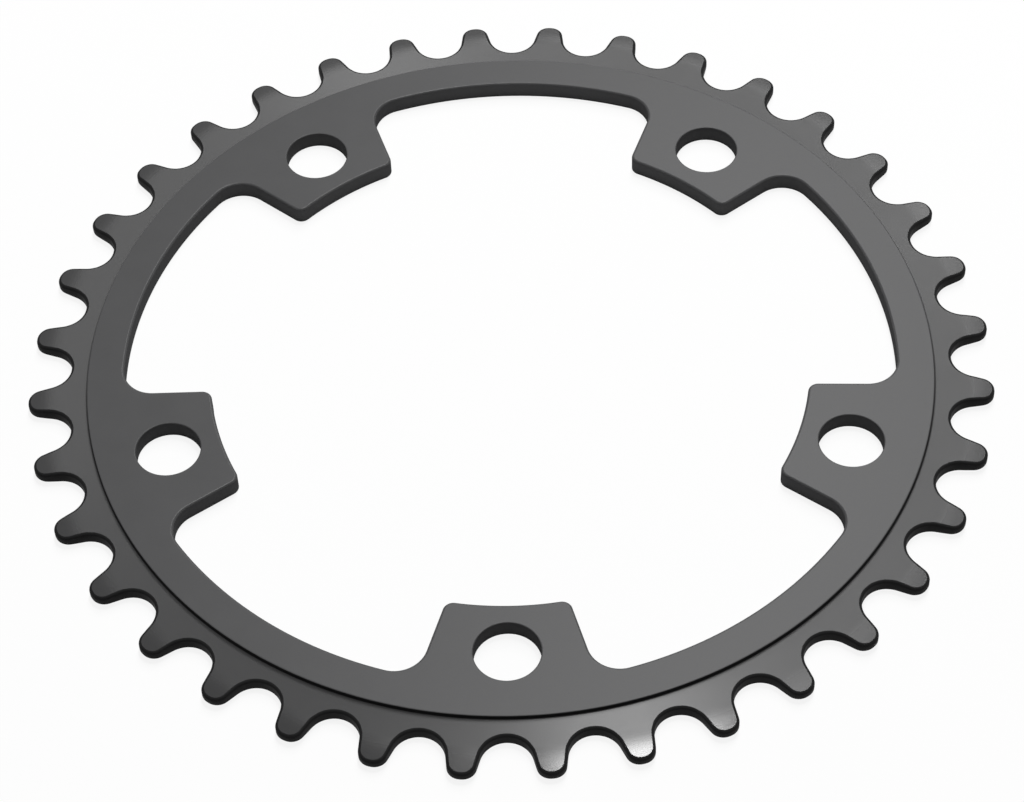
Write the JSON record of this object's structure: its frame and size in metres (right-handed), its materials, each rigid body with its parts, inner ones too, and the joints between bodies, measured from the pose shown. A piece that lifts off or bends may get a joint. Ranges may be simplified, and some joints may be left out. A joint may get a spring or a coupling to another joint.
{
  "type": "bicycle chainring",
  "caption": "Flat toothed chainring for a bicycle crank: a thin ring with rounded chain teeth outside and inward tabs with bolt holes, in dark anodised aluminium.",
  "frame": {"origin": "centre of the ring, on its back face, which it lies on", "axes": "+Z along the ring's axis towards its front face; one tab and its bolt hole lie along -Y"},
  "size_m": [0.1504, 0.1504, 0.003],
  "materials": {
    "anodised": "dark satin anodised"
  },
  "bodies": {
    "root": {"chainring": "anodised"}
  },
  "joints": []
}
